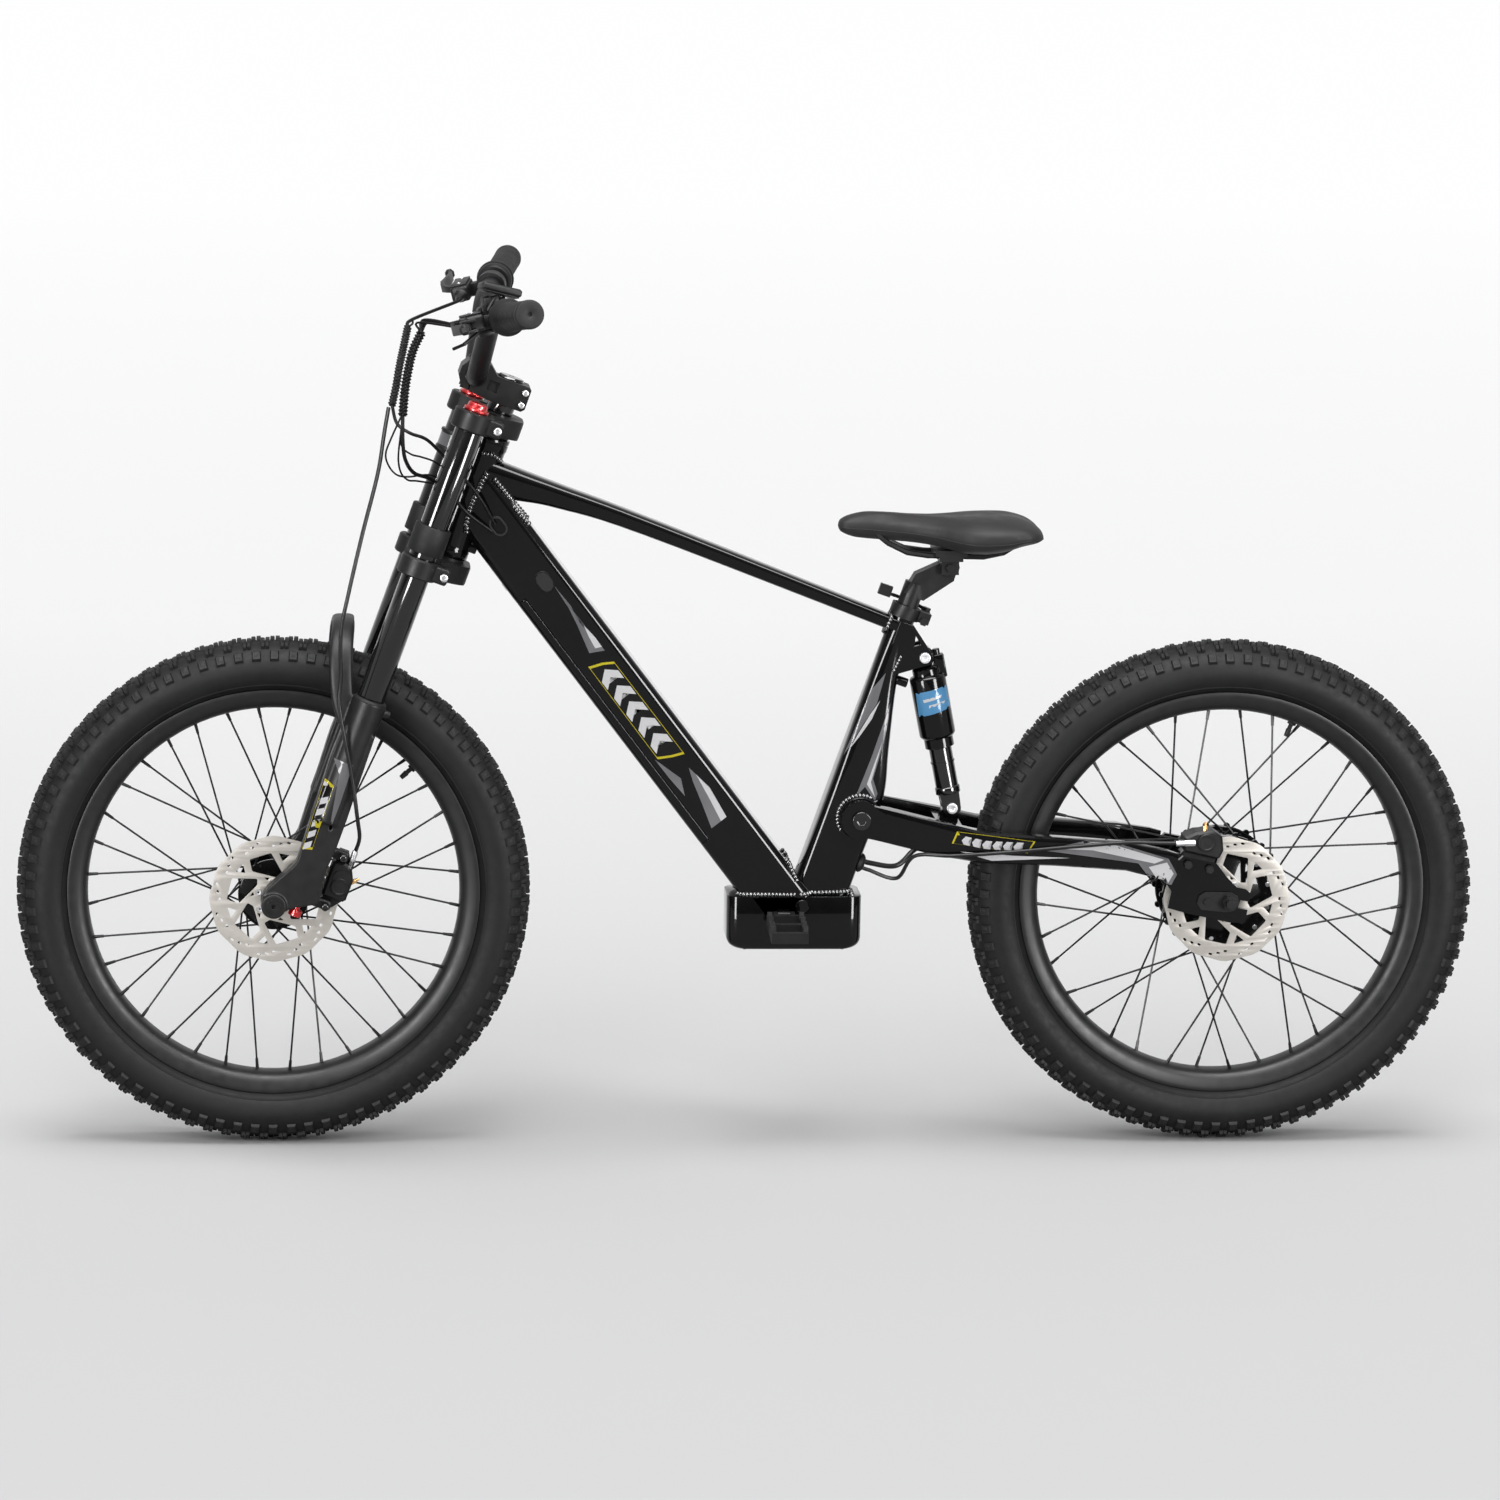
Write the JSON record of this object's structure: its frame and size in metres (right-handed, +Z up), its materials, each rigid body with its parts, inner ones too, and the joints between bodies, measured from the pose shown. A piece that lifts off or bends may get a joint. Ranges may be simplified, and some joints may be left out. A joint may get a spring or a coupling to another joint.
{
  "type": "electric bicycle",
  "caption": "Electric dirt-style bicycle with a box-section frame, long-travel fork, rear hub motor, sprung swingarm, disc brakes and folding foot pegs.",
  "frame": {"origin": "on the ground, midway between the two wheel axles in the middle plane", "axes": "+X from the front wheel to the rear wheel, +Y to the rider's right, +Z up"},
  "size_m": [1.846, 0.6998, 1.1127],
  "materials": {
    "frame_paint": "gloss",
    "motor_paint": "gloss",
    "shock_paint": "gloss",
    "satin_black": "satin",
    "cast_grey": "matte",
    "black_chrome": "polished",
    "bright_steel": "satin",
    "disc_steel": "satin",
    "red_anodised": "anodised",
    "tyre_rubber": "matte",
    "soft_rubber": "matte",
    "cable_cover": "satin",
    "black_plastic": "satin",
    "battery_wrap": "gloss",
    "saddle_cover": "matte"
  },
  "bodies": {
    "frame": {"main_frame": "frame_paint", "battery_pack": "battery_wrap", "battery_cover": "frame_paint", "motor_controller": "cast_grey", "controller_lid": "satin_black", "seat_clamp": "satin_black", "pivot_axle": "black_chrome", "shock_upper_bolt": "bright_steel"},
    "lock": {"lock_barrel": "bright_steel"},
    "port_cover": {"charge_port_cover": "soft_rubber"},
    "clamp_lever": {"seat_clamp_lever": "satin_black"},
    "left_peg": {"left_foot_peg": "cast_grey"},
    "right_peg": {"right_foot_peg": "cast_grey"},
    "post": {"seatpost": "satin_black"},
    "seat": {"saddle_rails": "satin_black", "saddle": "saddle_cover"},
    "steering": {"steerer_tube": "bright_steel", "lower_crown": "cast_grey", "upper_crown": "cast_grey", "stem": "cast_grey", "handlebar": "satin_black", "left_stanchion": "black_chrome", "right_stanchion": "black_chrome", "left_brake_clamp": "satin_black", "right_brake_clamp": "satin_black", "left_grip": "soft_rubber", "throttle_housing": "black_plastic", "display_unit": "black_plastic", "harness_left": "cable_cover", "harness_right": "cable_cover", "front_brake_hose": "cable_cover"},
    "left_cap": {"left_fork_cap": "red_anodised"},
    "right_cap": {"right_fork_cap": "red_anodised"},
    "left_lever": {"left_brake_lever": "satin_black"},
    "right_lever": {"right_brake_lever": "satin_black"},
    "throttle": {"throttle_grip": "soft_rubber"},
    "button": {"display_button": "soft_rubber"},
    "lowers": {"fork_lowers": "cast_grey", "front_axle": "satin_black", "front_caliper": "satin_black"},
    "knob": {"rebound_knob": "red_anodised"},
    "front_wheel": {"front_tyre": "tyre_rubber", "front_inner_tube": "soft_rubber", "front_rim": "satin_black", "front_hub": "satin_black", "front_brake_disc": "disc_steel"},
    "arm": {"swingarm": "frame_paint", "rear_caliper": "satin_black", "motor_axle": "satin_black", "shock_lower_bolt": "bright_steel", "rear_brake_hose": "cable_cover", "motor_cable": "cable_cover"},
    "rear_wheel": {"rear_tyre": "tyre_rubber", "rear_inner_tube": "soft_rubber", "rear_rim": "satin_black", "rear_hub_motor": "motor_paint", "rear_brake_disc": "disc_steel"},
    "can": {"shock_can": "shock_paint"},
    "shaft": {"shock_shaft": "black_chrome"}
  },
  "joints": [
    {"name": "steering_turn", "type": "hinge", "parent": "frame", "child": "steering", "pos_m": [-0.35988, 0, 0.82462], "axis": [0.3338, 0, 0.9426], "range_deg": [-40, 40], "deforming": ["harness_left", "harness_right"]},
    {"name": "fork_travel", "type": "slide", "parent": "steering", "child": "lowers", "axis": [0.3338, 0, 0.9426], "range_m": [0, 0.045], "stiffness_N_per_m": 18000, "springref_m": -0.016, "deforming": ["front_brake_hose"]},
    {"name": "front_wheel_spin", "type": "hinge", "parent": "lowers", "child": "front_wheel", "pos_m": [-0.6, 0, 0.323], "axis": [0, 1, 0], "continuous": true},
    {"name": "rebound_knob_turn", "type": "hinge", "parent": "lowers", "child": "knob", "pos_m": [-0.57186, -0.084, 0.3159], "axis": [0.3338, 0, 0.9426], "range_deg": [0, 270]},
    {"name": "left_cap_turn", "type": "hinge", "parent": "steering", "child": "left_cap", "pos_m": [-0.35394, -0.084, 0.94027], "axis": [0.3338, 0, 0.9426], "range_deg": [0, 270]},
    {"name": "right_cap_turn", "type": "hinge", "parent": "steering", "child": "right_cap", "pos_m": [-0.35394, 0.084, 0.94027], "axis": [0.3338, 0, 0.9426], "range_deg": [0, 270]},
    {"name": "left_brake_pull", "type": "hinge", "parent": "steering", "child": "left_lever", "pos_m": [-0.36965, -0.21952, 1.05964], "axis": [-0.2409, 0.0904, 0.9663], "range_deg": [0, 16], "stiffness_Nm_per_rad": 1.2, "springref_deg": -8.59},
    {"name": "right_brake_pull", "type": "hinge", "parent": "steering", "child": "right_lever", "pos_m": [-0.36965, 0.21952, 1.05964], "axis": [0.2409, 0.0904, -0.9663], "range_deg": [0, 16], "stiffness_Nm_per_rad": 1.2, "springref_deg": -8.59},
    {"name": "throttle_twist", "type": "hinge", "parent": "steering", "child": "throttle", "pos_m": [-0.33781, 0.13, 1.05921], "axis": [0.1709, 0.9761, 0.1339], "range_deg": [0, 70], "stiffness_Nm_per_rad": 0.25, "springref_deg": -11.46},
    {"name": "button_press", "type": "slide", "parent": "steering", "child": "button", "axis": [0.2409, -0.0904, -0.9663], "range_m": [0, 0.001], "stiffness_N_per_m": 400, "springref_m": -0.0008},
    {"name": "swingarm_swing", "type": "hinge", "parent": "frame", "child": "arm", "pos_m": [0.1365, 0, 0.4205], "axis": [0, -1, 0], "range_deg": [0, 9], "stiffness_Nm_per_rad": 3200, "springref_deg": -4.01, "deforming": ["rear_brake_hose", "motor_cable"]},
    {"name": "rear_wheel_spin", "type": "hinge", "parent": "arm", "child": "rear_wheel", "pos_m": [0.6, 0, 0.323], "axis": [0, 1, 0], "continuous": true},
    {"name": "shock_swing", "type": "hinge", "parent": "frame", "child": "can", "pos_m": [0.2154, 0, 0.6235], "axis": [0, 1, 0], "range_deg": [-0.4, 0.4]},
    {"name": "shock_travel", "type": "slide", "parent": "can", "child": "shaft", "axis": [-0.1979, 0, 0.9802], "range_m": [0, 0.019]},
    {"name": "seatpost_height", "type": "slide", "parent": "frame", "child": "post", "axis": [0.3256, 0, 0.9455], "range_m": [0, 0.1]},
    {"name": "saddle_tilt", "type": "hinge", "parent": "post", "child": "seat", "pos_m": [0.2445, 0, 0.7385], "axis": [0, 1, 0], "range_deg": [-10, 10]},
    {"name": "clamp_lever_open", "type": "hinge", "parent": "frame", "child": "clamp_lever", "pos_m": [0.21982, 0.02, 0.67891], "axis": [-0.3256, 0, -0.9455], "range_deg": [0, 150]},
    {"name": "left_peg_fold", "type": "hinge", "parent": "frame", "child": "left_peg", "pos_m": [0.0402, -0.05, 0.2975], "axis": [-1, 0, 0], "range_deg": [0, 60]},
    {"name": "right_peg_fold", "type": "hinge", "parent": "frame", "child": "right_peg", "pos_m": [0.0402, 0.05, 0.2975], "axis": [1, 0, 0], "range_deg": [0, 60]},
    {"name": "lock_turn", "type": "hinge", "parent": "frame", "child": "lock", "pos_m": [-0.31215, 0, 0.70999], "axis": [-0.7935, 0, -0.6086], "range_deg": [0, 90]},
    {"name": "port_cover_open", "type": "hinge", "parent": "frame", "child": "port_cover", "pos_m": [-0.25524, -0.039, 0.70891], "axis": [0.7935, 0, 0.6086], "range_deg": [0, 100]}
  ],
  "couplings": [
    {"joint": "shock_swing", "follows": "swingarm_swing", "ratio": -0.036},
    {"joint": "shock_travel", "follows": "swingarm_swing", "m_per_rad": 0.118}
  ]
}
